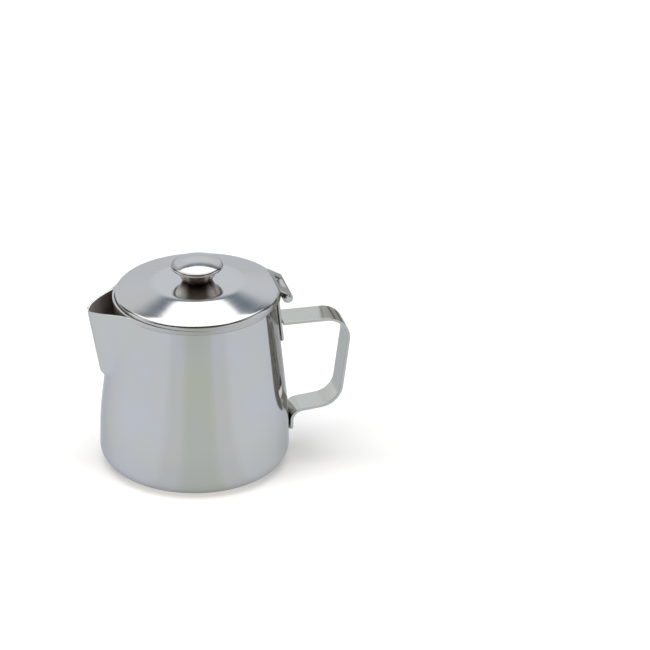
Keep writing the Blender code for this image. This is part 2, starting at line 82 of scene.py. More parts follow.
def arcPoints(centre, radius, start, end):
    step = math.radians(meshing["arcStep"] if radius > meshing["smallArc"] else meshing["smallArcStep"])
    count = max(meshing["fewestSteps"], math.ceil(abs(end - start) / step))
    angles = [lerp(start, end, i / count) for i in range(count + 1)]
    return [Vector((centre[0] + radius * math.cos(a), centre[1] + radius * math.sin(a))) for a in angles]


def roundedPath(corners):  # corners are (x, z, radius), the first and last stay sharp
    points = [Vector(corners[0][:2])]
    for before, corner, after in zip(corners, corners[1:], corners[2:]):
        here = Vector(corner[:2])
        into = (here - Vector(before[:2])).normalized()
        out = (Vector(after[:2]) - here).normalized()
        turn = math.atan2(into.x * out.y - into.y * out.x, into.dot(out))
        start = here - into * corner[2] * math.tan(abs(turn) / 2)
        centre = start + Vector((-into.y, into.x)) * math.copysign(corner[2], turn)
        first = math.atan2(start.y - centre.y, start.x - centre.x)
        points += arcPoints(centre, corner[2], first, first + turn)
    return densePath(points + [Vector(corners[-1][:2])])


def densePath(points):  # extra points keep long straight stretches straight in the polish
    dense = [points[0]]
    for a, b in zip(points, points[1:]):
        count = max(1, math.ceil((b - a).length / meshing["straightStep"]))
        dense += [a.lerp(b, (i + 1) / count) for i in range(count)]
    return [p for i, p in enumerate(dense) if i == 0 or (p - dense[i - 1]).length > meshing["samePoint"]]


def offsetPath(points, distance):  # to the left of the path
    moved = []
    for i, point in enumerate(points):
        into = (point - points[i - 1]).normalized() if i else None
        out = (points[i + 1] - point).normalized() if i + 1 < len(points) else None
        into, out = into or out, out or into
        normal = Vector((-into.y - out.y, into.x + out.x)).normalized()
        moved.append(point + normal * distance / normal.dot(Vector((-into.y, into.x))))
    return moved


def openMesh(mesh):
    bm = bmesh.new()
    bm.from_mesh(mesh)
    return bm


def closeMesh(bm, mesh):  # written back with every face looking out
    bmesh.ops.recalc_face_normals(bm, faces=bm.faces)
    bm.to_mesh(mesh)
    bm.free()
    return mesh


def tidyMesh(mesh):
    bm = openMesh(mesh)
    bmesh.ops.remove_doubles(bm, verts=bm.verts, dist=meshing["mergeWithin"])
    return closeMesh(bm, mesh)


def gridMesh(grid, wrapAcross=False, wrapDown=False):
    rows, columns = len(grid), len(grid[0])
    faces = []
    for i in range(rows if wrapDown else rows - 1):
        for j in range(columns if wrapAcross else columns - 1):
            nextRow, nextColumn = (i + 1) % rows, (j + 1) % columns
            faces.append((i * columns + j, i * columns + nextColumn,
                          nextRow * columns + nextColumn, nextRow * columns + j))
    mesh = bpy.data.meshes.new("grid")
    mesh.from_pydata([p for row in grid for p in row], [], faces)
    return tidyMesh(mesh)


def turnedMesh(profile, segments, centreX=0.0, closed=False):
    angles = [math.tau * i / segments for i in range(segments)]
    grid = [[(centreX + r * math.cos(a), r * math.sin(a), z) for a in angles] for r, z in profile]
    return gridMesh(grid, wrapAcross=True, wrapDown=closed)


def stripMesh(centreLine, thickness, width):  # a flat strip bent along a path in the XZ plane
    outline = offsetPath(centreLine, thickness / 2) + offsetPath(centreLine, -thickness / 2)[::-1]
    bm = bmesh.new()
    face = bm.faces.new([bm.verts.new((x, -width / 2, z)) for x, z in outline])
    grown = bmesh.ops.extrude_face_region(bm, geom=[face])["geom"]
    moved = [item for item in grown if isinstance(item, bmesh.types.BMVert)]
    bmesh.ops.translate(bm, verts=moved, vec=(0, width, 0))
    return closeMesh(bm, bpy.data.meshes.new("strip"))


def boxMesh(low, high):
    corners = [(x, y, z) for x in (low[0], high[0]) for y in (low[1], high[1]) for z in (low[2], high[2])]
    faces = [(0, 1, 3, 2), (4, 6, 7, 5), (0, 4, 5, 1), (2, 3, 7, 6), (0, 2, 6, 4), (1, 5, 7, 3)]
    mesh = bpy.data.meshes.new("box")
    mesh.from_pydata(corners, [], faces)
    return tidyMesh(mesh)


def cutMesh(mesh, cutterMesh):  # exact difference, applied at once
    scene = bpy.context.scene
    piece = bpy.data.objects.new("cutPiece", mesh)
    cutter = bpy.data.objects.new("cutter", cutterMesh)
    for obj in (piece, cutter):
        scene.collection.objects.link(obj)
    modifier = piece.modifiers.new("cut", "BOOLEAN")
    modifier.operation = "DIFFERENCE"
    modifier.solver = "EXACT"
    modifier.object = cutter
    graph = bpy.context.evaluated_depsgraph_get()
    result = bpy.data.meshes.new_from_object(piece.evaluated_get(graph))
    for obj in (piece, cutter):
        bpy.data.objects.remove(obj)
    return tidyMesh(result)


def addPiece(name, mesh, materials, body, node, edge=0.0):
    mesh.name = name
    piece = bpy.data.objects.new(name, mesh)
    bpy.context.scene.collection.objects.link(piece)
    mesh.materials.clear()
    for material in materials:  # every face starts with the first
        mesh.materials.append(material)
    mesh.shade_smooth()
    mesh.set_sharp_from_angle(angle=math.radians(meshing["sharpFrom"]))
    if edge:  # softened edges of a sheet or strap
        bevel = piece.modifiers.new("softEdge", "BEVEL")
        bevel.width = edge
        bevel.segments = meshing["softSegments"]
        bevel.limit_method = "ANGLE"
        bevel.angle_limit = math.radians(meshing["softFrom"])
        bevel.harden_normals = True
    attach(piece, body)
    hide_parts(node)


# Steel finishes. Sizes in a finish are millimetres, and the grain runs round an axis or along a strap.
# Real polishing lines are finer than a pixel, so all grain is drawn coarser, 0.6 to 1.4 mm apart.

lidCentre = 0.0017  # the lid's axis lies this far towards the hinge
polish = {
    "around": 0.002, "along": 0.03,  # how little the pattern changes along its lines
    "lineDetail": 3.0, "hazeDetail": 2.0, "lineHeight": 0.1,  # the height is a share of the spacing
    "hazeFrom": 0.35, "hazeTo": 0.65, "roughFrom": 0.6, "roughTo": 1.4,  # spans of the noise that show
    "grazing": "#d8d8d8",  # steel brightens little at grazing angles
}


def steelMaterial(finish):
    material = bpy.data.materials.new(finish["name"])
    material.use_nodes = True
    tree = material.node_tree
    shader = tree.nodes["Principled BSDF"]
    spacing, hazeSize = finish["lineSpacing"] * millimetre, finish["hazeSize"] * millimetre
    toAxis = (-lidCentre if finish["axis"] == "lid" else 0.0, 0, 0)
    place = addNode(tree, "TexCoord").outputs["Object"]
    place = addNode(tree, "VectorMath", {0: place, 1: toAxis}, operation="ADD").outputs[0]
    x, y, z = addNode(tree, "SeparateXYZ", {0: place}).outputs
    flat = addNode(tree, "CombineXYZ", {0: x, 1: y}).outputs[0]
    radius = addNode(tree, "VectorMath", {0: flat}, operation="LENGTH").outputs["Value"]
    if finish["grain"] == "turned":  # lines run round the upright axis
        angle = addNode(tree, "Math", {0: y, 1: x}, operation="ARCTAN2").outputs[0]
        around = addNode(tree, "Math", {0: angle, 1: polish["around"]}, operation="MULTIPLY").outputs[0]
        grain = addNode(tree, "CombineXYZ", {0: around, 1: radius, 2: z}).outputs[0]
    else:  # lines run along the strap, so they mostly change across its width
        shrink = (polish["along"], 1.0, polish["along"])
        grain = addNode(tree, "VectorMath", {0: place, 1: shrink}, operation="MULTIPLY").outputs[0]
    lines = {"Vector": grain, "Scale": 1 / spacing, "Detail": polish["lineDetail"]}
    lines = addNode(tree, "TexNoise", lines).outputs["Fac"]
    haze = {"Vector": place, "Scale": 1 / hazeSize, "Detail": polish["hazeDetail"]}
    haze = addNode(tree, "TexNoise", haze).outputs["Fac"]

    span = {0: haze, 1: polish["hazeFrom"], 2: polish["hazeTo"]}
    patches = addNode(tree, "MapRange", span, **softStep).outputs[0]
    tint = {0: patches, 6: toLinear(finish["cool"]), 7: toLinear(finish["warm"])}
    tint = addNode(tree, "Mix", tint, **asColor).outputs[2]
    if "paintedShade" in finish:  # painted shade: the colour darkens along the radius or the height, as the finish asks
        along = radius if finish["paintedShadeAlong"] == "radius" else z
        span = {0: along, 1: finish["paintedShadeFrom"] * millimetre, 2: finish["paintedShadeTo"] * millimetre}
        shadeShare = addNode(tree, "MapRange", span, **softStep).outputs[0]
        tint = addNode(tree, "Mix", {0: shadeShare, 6: tint, 7: toLinear(finish["paintedShade"])}, **asColor).outputs[2]
    both = addNode(tree, "Math", {0: lines, 1: haze}, operation="ADD").outputs[0]
    span = {0: both, 1: polish["roughFrom"], 2: polish["roughTo"],
            3: finish["smoothest"], 4: finish["roughest"]}
    rough = addNode(tree, "MapRange", span).outputs[0]
    bump = {"Height": lines, "Strength": finish["lineDepth"], "Distance": spacing * polish["lineHeight"]}
    bump = addNode(tree, "Bump", bump).outputs[0]
    for name, socket in {"Base Color": tint, "Roughness": rough, "Normal": bump}.items():
        tree.links.new(socket, shader.inputs[name])
    shader.inputs["Metallic"].default_value = 1.0 - finish.get("film", 0.0)
    shader.inputs["Specular Tint"].default_value = toLinear(polish["grazing"])
    return material


# Stainless sheet, drawn and then buffed with a mop on a lathe: clear reflections under a very slight haze,
# and faint rings.
buffedSheet = steelMaterial({
    "name": "stainlessSheetBuffed", "grain": "turned", "axis": "pot", "lineSpacing": 1.4, "hazeSize": 30,
    "lineDepth": 0.02, "cool": "#c5c4c3", "warm": "#c6c5bc", "smoothest": 0.05, "roughest": 0.11,
})
# The lid's sheet, buffed in the same way: rings round the lid's own axis, under a little more haze.
buffedLid = steelMaterial({
    "name": "stainlessLidBuffed", "grain": "turned", "axis": "lid", "lineSpacing": 1.4, "hazeSize": 25,
    "lineDepth": 0.02, "cool": "#c2c0bd", "warm": "#c3bfb8", "smoothest": 0.08, "roughest": 0.14,
})
# The rim and the lid's hem, trimmed and then linished: an even satin that shows no clear image.
linishedEdge = steelMaterial({
    "name": "stainlessEdgeLinished", "grain": "turned", "axis": "pot", "lineSpacing": 0.9, "hazeSize": 10,
    "lineDepth": 0.03, "cool": "#c3c1be", "warm": "#c4c2b8", "smoothest": 0.32, "roughest": 0.38,
})
# The knob's cap, spun and buffed by hand: a clear dome, with painted shade that darkens it towards the rolled
# edge.
buffedCap = steelMaterial({
    "name": "stainlessCapBuffed", "grain": "turned", "axis": "lid", "lineSpacing": 1.2, "hazeSize": 12,
    "lineDepth": 0.02, "cool": "#c2c0bd", "warm": "#c3bfb8", "smoothest": 0.08, "roughest": 0.14,
    "paintedShade": "#9a9793", "paintedShadeAlong": "radius", "paintedShadeFrom": 10.6, "paintedShadeTo": 12.8,
})
# The knob's spun stem: a satin sheen that blurs what stands round it, with painted shade in the room's colour
# that darkens it towards its foot.
satinStem = steelMaterial({
    "name": "stainlessStemSatin", "grain": "turned", "axis": "lid", "lineSpacing": 0.9, "hazeSize": 6,
    "lineDepth": 0.05, "cool": "#f2ece7", "warm": "#f0e8e0", "smoothest": 0.2, "roughest": 0.26,
    "paintedShade": "#5a4f48", "paintedShadeAlong": "height", "paintedShadeFrom": 103.5, "paintedShadeTo": 98.5,
})
# The beak's inside, pressed, welded and left so: a thin dull film that scatters light, with no clear image,
# and painted shade that darkens it towards the root of the beak.
pressedChannel = steelMaterial({
    "name": "stainlessChannelPressed", "grain": "turned", "axis": "pot", "lineSpacing": 1.2, "hazeSize": 12,
    "lineDepth": 0.04, "cool": "#dcd4d0", "warm": "#d6ccc6", "smoothest": 0.42, "roughest": 0.5,
    "film": 0.34, "paintedShade": "#857670", "paintedShadeAlong": "radius", "paintedShadeFrom": 53, "paintedShadeTo": 43,
})
# Hinge leaves, blanked from strip and tumbled: even and satin, with no clear image.
tumbledLeaf = steelMaterial({
    "name": "stainlessLeafTumbled", "grain": "along", "axis": "pot", "lineSpacing": 1.1, "hazeSize": 8,
    "lineDepth": 0.03, "cool": "#c0bfba", "warm": "#c0beb5", "smoothest": 0.28, "roughest": 0.34,
})
# The body's sheet inside, left as the press drew it: dull and grey, with soft rings.
drawnInside = steelMaterial({
    "name": "stainlessSheetAsDrawn", "grain": "turned", "axis": "pot", "lineSpacing": 1.2, "hazeSize": 12,
    "lineDepth": 0.06, "cool": "#bab8b5", "warm": "#b6b2ac", "smoothest": 0.3, "roughest": 0.38,
})
# Cold-rolled stainless strap, belt polished along its length: long straight lines and a soft sheen.
polishedStrap = steelMaterial({
    "name": "stainlessStrapPolished", "grain": "along", "axis": "pot", "lineSpacing": 1.2, "hazeSize": 20,
    "lineDepth": 0.03, "cool": "#bebdb6", "warm": "#bebcb0", "smoothest": 0.07, "roughest": 0.15,
})
# Drawn stainless wire with hammered heads: bright, a little uneven.
peenedWire = steelMaterial({
    "name": "stainlessWirePeened", "grain": "along", "axis": "pot", "lineSpacing": 0.9, "hazeSize": 2,
    "lineDepth": 0.08, "cool": "#c6c6c6", "warm": "#c0bfbb", "smoothest": 0.1, "roughest": 0.22,
})
# Turned stainless fastener: tool rings and a satin face.
turnedFastener = steelMaterial({
    "name": "stainlessFastenerTurned", "grain": "turned", "axis": "lid", "lineSpacing": 0.6, "hazeSize": 4,
    "lineDepth": 0.1, "cool": "#b8b9ba", "warm": "#b6b4b0", "smoothest": 0.18, "roughest": 0.3,
})
print("steel finishes made")


# Body: foot, belly wall, cone and a rim that is rolled flat

body = inMetres({
    "footRadius": 47.7, "footFillet": 9.2, "shoulderRadius": 47.2, "shoulderHeight": 26.6,
    "shoulderBend": 160, "rimRadius": 40.2, "rimHeight": 90.1, "sheet": 0.8,
    "rimOutside": 40.75, "rimBand": 2.4, "rimStep": 0.4, "rimCorner": 0.12, "rimFall": 0.2,
    "grooveRadius": 31.5, "grooveWidth": 3.0, "grooveDepth": 0.6,
    "holeRadius": 1.5, "holePitch": 4.8, "holeMargin": 4.0, "holeTopDrop": 11.0, "holeReach": 6.0,
})
bodySegments = 240
holeSegments = 28
rimFoot = body["rimHeight"] - body["rimBand"]
seatGap = 0.3 * millimetre  # left between two pieces that are welded or screwed together


def coneRadius(z):
    share = (z - body["shoulderHeight"]) / (body["rimHeight"] - body["shoulderHeight"])
    return lerp(body["shoulderRadius"], body["rimRadius"], share)


def wallRadius(z):  # outside of the wall, with the rim
    if z > rimFoot:
        return body["rimOutside"]
    belly = lerp(body["footRadius"], body["shoulderRadius"], z / body["shoulderHeight"])
    return belly if z < body["shoulderHeight"] else coneRadius(z)


def rimTop(radius):  # the flat rim falls a little outwards
    inner = coneRadius(rimFoot) - body["sheet"]
    share = (radius - inner) / (body["rimOutside"] - inner)
    return body["rimHeight"] - body["rimFall"] * min(1.0, max(0.0, share))


def baseGroove(height):  # from the middle of the base to where the wall's path starts
    inner = body["grooveRadius"] - body["grooveWidth"] / 2
    outer = body["grooveRadius"] + body["grooveWidth"] / 2
    depth = body["grooveDepth"]
    return roundedPath([
        (0.0, height, 0.0),
        (inner - depth, height, depth),
        (inner, height + depth, depth),
        (outer, height + depth, depth),
        (outer + depth, height, depth),
        (body["grooveRadius"] + body["grooveWidth"], height, 0.0),
    ])


def wallPath():
    return roundedPath([
        (body["grooveRadius"] + body["grooveWidth"], 0.0, 0.0),
        (body["footRadius"], 0.0, body["footFillet"]),
        (body["shoulderRadius"], body["shoulderHeight"], body["shoulderBend"]),
        (coneRadius(rimFoot), rimFoot, 0.0),
    ])


def strainerCutter():  # rows of pins that punch the holes behind the beak
    bm = bmesh.new()
    top = rimFoot - body["holeTopDrop"]
    lowest = beak["footHeight"] + beak["chin"] + body["holeMargin"]
    for row in range(int((top - lowest) / body["holePitch"]) + 1):
        z = top - row * body["holePitch"]
        half = beakHalfWidth(z) - body["holeMargin"]
        count = max(1, int(2 * half / body["holePitch"]) + 1)
        for i in range(count):
            y = (i - (count - 1) / 2) * body["holePitch"]
            made = bmesh.ops.create_cone(bm, cap_ends=True, segments=holeSegments, radius1=body["holeRadius"],
                                         radius2=body["holeRadius"], depth=2 * body["holeReach"])
            wall = math.sqrt(wallRadius(z) ** 2 - y ** 2)
            for vert in made["verts"]:
                vert.co = Vector((vert.co.z - wall, y + vert.co.x, z + vert.co.y))
    return closeMesh(bm, bpy.data.meshes.new("strainer"))


def makeBody():
    outside = baseGroove(0.0) + wallPath()
    wallTop, turnedIn = coneRadius(rimFoot), rimFoot + body["rimStep"]
    rim = roundedPath([
        (wallTop, rimFoot, 0.0),
        (body["rimOutside"], turnedIn, body["rimCorner"] / 2),
        (body["rimOutside"], rimTop(body["rimOutside"]), body["rimCorner"]),
        (wallTop - body["sheet"], body["rimHeight"], body["rimCorner"]),
        (wallTop - body["sheet"], turnedIn, 0.0),
    ])
    inside = baseGroove(body["sheet"]) + offsetPath(wallPath(), body["sheet"])
    mesh = cutMesh(turnedMesh(outside + rim[1:] + inside[::-1], bodySegments), strainerCutter())
    finishes = [buffedSheet, drawnInside, linishedEdge]
    addPiece("bodyShell", mesh, finishes, "pot", "body_shell")
    for face in mesh.polygons:  # faces that look at the axis or up from the bottom are the dull inside
        c, n = face.center, face.normal
        inward = c.x * n.x + c.y * n.y < 0 and math.hypot(c.x, c.y) < wallRadius(c.z) - body["sheet"] / 2
        bottom = n.z > 0.5 and c.z < body["footFillet"]
        if c.z > rimFoot:
            face.material_index = finishes.index(linishedEdge)
        elif inward or bottom:
            face.material_index = finishes.index(drawnInside)


# Beak: pressed from sheet, welded on and blended into the wall

beak = inMetres({
    "reach": 14.4, "halfWidth": 17.2, "nose": 5.3, "tipDrop": 2.9, "lipBow": 1.0, "lipUnder": 0.3,
    "footHeight": 49.6, "footReach": 3.8, "footHalfWidth": 5.6, "footNose": 1.8, "chin": 4.2, "blend": 4.5,
    "channelWall": 1.0, "channelSunk": 0.12, "proud": 0.025, "sunk": 0.04, "skirt": 3.0,
})
beakForm = {
    "rows": 80, "columns": 112, "lowCrowding": 1.1, "noseCrowding": 1.25,  # closer low down and at the nose
    "spread": 1.5, "dipFrom": 1.2,  # half widths: the skin's reach over the wall, and where it dips under
    "blendShare": 0.4, "chinCurve": 1.7, "lipSteps": 6, "lipRise": 0.1, "lipFacing": 0.7,
}


def beakShare(z):
    low = beak["footHeight"] + beak["chin"]
    return (z - low) / (body["rimHeight"] - low)


def beakHalfWidth(z):
    return lerp(beak["footHalfWidth"], beak["halfWidth"], beakShare(z))


def beakShape(y, z):  # the beak's own outside, before it is blended into the wall, and the blend's width
    share = beakShare(z)
    wall = wallRadius(min(z, rimFoot))
    half = beakHalfWidth(z)
    tip = wall + lerp(beak["footReach"], beak["reach"], share)
    depth = tip - math.sqrt(wall ** 2 - half ** 2)
    nose = lerp(beak["footNose"], beak["nose"], max(0.0, share))
    slope = (half ** 2 - 2 * nose * depth) / depth ** 2
    back = (math.sqrt(nose ** 2 + slope * y ** 2) - nose) / slope if slope > 0 else depth * (y / half) ** 2
    chinShare = min(1.0, (z - beak["footHeight"]) / beak["chin"])
    fade = depth * (1 - chinShare) ** beakForm["chinCurve"]  # the chin sinks back into the wall
    return tip - back - fade, min(beak["blend"], beakForm["blendShare"] * depth)


def softMax(a, b, width):
    near = max(width - abs(a - b), 0.0) / width
    return max(a, b) + near * near * width / 4


def smooth(value):
    value = min(1.0, max(0.0, value))
    return value * value * (3 - 2 * value)


def lipHeight(across):  # top edge of the beak, 0 at its tip and 1 where it meets the rim
    side = min(1.0, abs(across))
    drop = beak["lipUnder"] + beak["tipDrop"] * (1 - side ** 2)
    return body["rimHeight"] - drop + 4 * beak["lipBow"] * side * (1 - side)


def beakRow(share, inside):
    points = []
    for j in range(beakForm["columns"] + 1):
        across = 2 * j / beakForm["columns"] - 1
        across = math.copysign(abs(across) ** beakForm["noseCrowding"], across) * beakForm["spread"]
        z = lerp(beak["footHeight"] - beak["skirt"], lipHeight(across), share)
        y = across * beakHalfWidth(z)
        wall = math.sqrt(wallRadius(z) ** 2 - y ** 2)
        own, blend = beakShape(y, z)
        if inside:
            x = max(wall - beak["channelSunk"], own - beak["channelWall"])
        else:  # the skin's border dips under the wall, so no edge shows
            aside = (abs(across) - beakForm["dipFrom"]) / (beakForm["spread"] - beakForm["dipFrom"])
            under = (beak["footHeight"] - z) / beak["skirt"]
            dip = max(smooth(aside), smooth(lerp(-0.5, 1.0, under)))  # from a third of the way down the skirt
            x = softMax(wall + lerp(beak["proud"], -beak["sunk"], dip), own, blend)
        points.append(Vector((-x, y, z)))
    return points


def makeBeak():
    shares = [(i / beakForm["rows"]) ** beakForm["lowCrowding"] for i in range(beakForm["rows"] + 1)]
    outer = [beakRow(share, False) for share in shares]
    inner = [beakRow(share, True) for share in shares]
    lip = []
    for i in range(1, beakForm["lipSteps"]):  # rounded lip
        t = i / beakForm["lipSteps"]
        rise = beakForm["lipRise"] * math.sin(math.pi * t)
        edges = zip(outer[-1], inner[-1])
        lip.append([a.lerp(b, t) + Vector((0, 0, (a - b).length * rise)) for a, b in edges])
    shell = gridMesh(outer + lip + inner[::-1], wrapDown=True)
    bm = openMesh(shell)
    bmesh.ops.holes_fill(bm, edges=[edge for edge in bm.edges if edge.is_boundary], sides=0)
    closeMesh(bm, shell)
    finishes = [buffedSheet, pressedChannel]
    addPiece("spoutBeak", shell, finishes, "pot", "spout_beak")
    for face in shell.polygons:  # faces that look into the channel are the dull inside
        c, n = face.center, face.normal
        if n.x * (c.x + wallRadius(rimFoot)) + n.y * c.y < 0 and n.z < beakForm["lipFacing"]:
            face.material_index = finishes.index(pressedChannel)


# Handle: one flat strap

handle = inMetres({
    "width": 15, "thickness": 1.5, "topHeight": 72.45, "topReach": 79, "topBend": 11.3,
    "lowReach": 73, "lowHeight": 25.2, "lowBend": 11.5,
    "tailHeight": 22.7, "tailBend": 5.8, "tailEnd": 11.7, "tailCorner": 4.0, "edge": 0.35,
})
cornerSegments = 12


def roundEnd(mesh, lowest, thickness, radius):  # rounds the two corners at the lower end of a strip
    bm = openMesh(mesh)
    corners = []
    for edge in bm.edges:
        a, b = (vert.co for vert in edge.verts)
        throughSheet = abs(a.y - b.y) < meshing["samePoint"] and abs(a.x - b.x) > thickness / 2
        if throughSheet and max(a.z, b.z) < lowest + thickness:
            corners.append(edge)
    bmesh.ops.bevel(bm, geom=corners, offset=radius, segments=cornerSegments, profile=0.5, affect="EDGES")
    return closeMesh(bm, mesh)


def makeHandle():
    tailX = wallRadius(handle["tailEnd"]) + seatGap + handle["thickness"] / 2
    start = wallRadius(handle["topHeight"]) + 2 * seatGap + hinge["leaf"]
    path = roundedPath([
        (start, handle["topHeight"], 0.0),
        (handle["topReach"], handle["topHeight"], handle["topBend"]),
        (handle["lowReach"], handle["lowHeight"], handle["lowBend"]),
        (tailX, handle["tailHeight"], handle["tailBend"]),
        (tailX, handle["tailEnd"], 0.0),
    ])
    mesh = stripMesh(path, handle["thickness"], handle["width"])
    roundEnd(mesh, handle["tailEnd"], handle["thickness"], handle["tailCorner"])
    addPiece("handleStrap", mesh, [polishedStrap], "pot", "handle_strap", handle["edge"])


# Hinge: body leaf, lid leaf and pin

hinge = inMetres({
    "leaf": 1.1, "axis": 45.0, "drop": 1.3, "bodyKnuckle": 11, "lidKnuckle": 6, "knuckleGap": 0.3,
    "pinRadius": 1.2, "pinClearance": 0.3, "headRadius": 1.8, "head": 0.7, "headRounding": 0.49,
    "strapFoot": 60.7, "strapCorner": 4.5, "strapStraight": 5, "edge": 0.22,
    "weldLine": 0.03,  # the lid leaf is welded flush, so only a hair line is left
})
pinSegments = 48
bodyCurl = math.radians(275)
lidCurl = math.radians(255)
bore = hinge["pinRadius"] + hinge["pinClearance"]
barrel = bore + hinge["leaf"]
barrelMiddle = bore + hinge["leaf"] / 2
hingeX = hinge["axis"]
hingeZ = body["rimHeight"] - hinge["drop"]
leafHalfWidth = hinge["bodyKnuckle"] / 2 + hinge["knuckleGap"] + hinge["lidKnuckle"]


def makeHingeStrap():
    leave = hingeZ - hinge["strapStraight"]
    seat = seatGap + hinge["leaf"] / 2
    path = [
        Vector((wallRadius(hinge["strapFoot"]) + seat, hinge["strapFoot"])),
        Vector((wallRadius(leave) + seat, leave)),
    ]
    path = densePath(path + arcPoints((hingeX, hingeZ), barrelMiddle, math.pi, math.pi - bodyCurl))
    mesh = stripMesh(path, hinge["leaf"], hinge["bodyKnuckle"])
    roundEnd(mesh, hinge["strapFoot"], hinge["leaf"], hinge["strapCorner"])
    addPiece("hingeStrap", mesh, [tumbledLeaf], "pot", "hinge_strap", hinge["edge"])


def makeLidLeaf():
    startX = lidChord + hinge["weldLine"]
    middleOfLid = Vector((lidCentre, lidEdgeTop))
    start = Vector((startX, lidConeHeight(startX - lidCentre) - hinge["leaf"] / 2)) - middleOfLid
    start = Matrix.Rotation(lidLean, 2) @ start + middleOfLid
    toAxis = Vector((hingeX, hingeZ)) - start
    touch = math.atan2(toAxis.y, toAxis.x) + math.asin(barrelMiddle / toAxis.length) + math.pi / 2
    path = densePath([start] + arcPoints((hingeX, hingeZ), barrelMiddle, touch, touch - lidCurl))
    half = hinge["bodyKnuckle"] / 2 + hinge["knuckleGap"]
    near = hingeX - barrel - hinge["knuckleGap"]
    past = 3 * barrel  # well past the curl
    notch = boxMesh((near, -half, hingeZ - past), (hingeX + past, half, hingeZ + past))
    mesh = cutMesh(stripMesh(path, hinge["leaf"], 2 * leafHalfWidth), notch)
    addPiece("lidHingeLeaf", mesh, [tumbledLeaf], "lid", "lid_hinge_leaf", hinge["edge"])


def makePin():
    shaft = leafHalfWidth + hinge["knuckleGap"]
    end = shaft + hinge["head"]
    rounding = hinge["headRounding"]
    corner = arcPoints((hinge["headRadius"] - rounding, end - rounding), rounding, 0.0, math.pi / 2)
    half = [Vector((hinge["pinRadius"], shaft)), Vector((hinge["headRadius"], shaft))] + corner
    profile = densePath([Vector((0.0, end))] + half[::-1])
    profile += [Vector((r, -y)) for r, y in profile[::-1]]
    mesh = turnedMesh(profile, pinSegments)
    for vert in mesh.vertices:  # laid along the hinge
        vert.co = Vector((hingeX + vert.co.x, -vert.co.z, hingeZ + vert.co.y))
    addPiece("hingePin", tidyMesh(mesh), [peenedWire], "lid", "hinge_pin")


# Lid: flat top, straight cone and a turned-down hem

lid = inMetres({
    "radius": 41.2, "gap": 0.55, "edgeBend": 1.65, "coneRise": 4.8, "topRadius": 22, "topBend": 20,
    "crown": 0.6, "sheet": 0.8, "leafOverlap": 3.0, "screwBore": 2.3,
    "hem": 2.3, "hemFrom": 0.9, "hemCorner": 0.1, "hemSkin": 0.04, "hairline": 0.12,
})
lidEdgeBottom = body["rimHeight"] + lid["gap"]
lidEdgeTop = lidEdgeBottom + lid["hem"]
lidConeTop = lidEdgeTop + lid["coneRise"]
lidTop = lidConeTop + lid["crown"]
lidChord = lidCentre + lid["radius"] - lid["leafOverlap"]
lidLean = math.radians(1.35)  # higher at the hinge


def leaned(mesh):
    middle = Matrix.Translation((lidCentre, 0, lidEdgeTop))
    mesh.transform(middle @ Matrix.Rotation(-lidLean, 4, "Y") @ middle.inverted())
    return mesh


def levelHem(mesh):  # the hem is trimmed to lie a hair above the rim
    for vertex in mesh.vertices:
        line = lidEdgeTop + (vertex.co.x - lidCentre) * math.tan(lidLean)
        share = (line - lid["hemFrom"] - vertex.co.z) / (lid["hem"] - lid["hemFrom"])
        if share > 0:
            end = rimTop(math.hypot(vertex.co.x, vertex.co.y)) + lid["hairline"]
            vertex.co.z = lerp(line - lid["hemFrom"], end, share)
    return mesh


def lidConeHeight(radius):
    return lerp(lidEdgeTop, lidConeTop, (lid["radius"] - radius) / (lid["radius"] - lid["topRadius"]))


def makeLid():
    crown = lid["crown"] * (lid["screwBore"] / lid["topRadius"]) ** 2
    hemTop = lidEdgeBottom + lid["sheet"] / 2
    outside = roundedPath([
        (lid["screwBore"], lidTop - crown, 0.0),
        (lid["topRadius"], lidConeTop, lid["topBend"]),
        (lid["radius"], lidEdgeTop, lid["edgeBend"]),
        (lid["radius"], hemTop, 0.0),
    ])
    inside = offsetPath(outside, -lid["sheet"])
    hem = roundedPath([
        (lid["radius"], hemTop, 0.0),
        (lid["radius"], lidEdgeBottom, lid["hemCorner"]),
        (lid["radius"] - lid["sheet"], lidEdgeBottom, lid["hemCorner"]),
        (lid["radius"] - lid["sheet"], hemTop, 0.0),
    ])
    profile = outside + hem[1:-1] + inside[::-1]
    half = leafHalfWidth + hinge["weldLine"]
    notchLow = body["rimHeight"] - lid["hem"]
    notch = boxMesh((lidChord, -half, notchLow), (lidChord + lid["radius"], half, lidTop))
    mesh = cutMesh(turnedMesh(profile, bodySegments, lidCentre, closed=True), notch)
    finishes = [buffedLid, linishedEdge]
    addPiece("lidShell", levelHem(leaned(mesh)), finishes, "lid", "lid_shell")
    for face in mesh.polygons:  # the upright hem
        if math.hypot(face.center.x - lidCentre, face.center.y) > lid["radius"] - lid["hemSkin"]:
            face.material_index = finishes.index(linishedEdge)


# Knob: domed cap with a rolled lip on a flared stem, held by a screw from below

knob = inMetres({
    "footRadius": 7.3, "neckBulge": 0.3, "flareRadius": 11.6, "stemHeight": 6.5, "radius": 13,
    "domeRadius": 33, "lip": 1.2, "lipTuck": 0.2, "sheet": 0.8, "bossWall": 1.7,
    "screwRadius": 2.0, "screwHeadRadius": 3.6, "screwHead": 2.2, "screwSlot": 1.0, "screwGrip": 5.5,
    "washerRadius": 4.6, "washer": 0.8, "washerEdge": 0.1,
})
knobSegments = 128
fastenerSegments = 72
domeSteps = 24
flareSteps = 28
lipTurn = math.radians(80)
knobFoot = lidTop + seatGap
stemTop = knobFoot + knob["stemHeight"]
screwTip = knobFoot + knob["screwGrip"]
lipZ = stemTop + knob["lip"] - knob["lipTuck"]
washerTop = lidTop - lid["sheet"] - seatGap
washerLow = washerTop - knob["washer"]


def domePath(ballZ, radius, edge):
    angles = [edge * i / domeSteps for i in range(domeSteps + 1)]
    return [Vector((radius * math.sin(a), ballZ + radius * math.cos(a))) for a in angles]


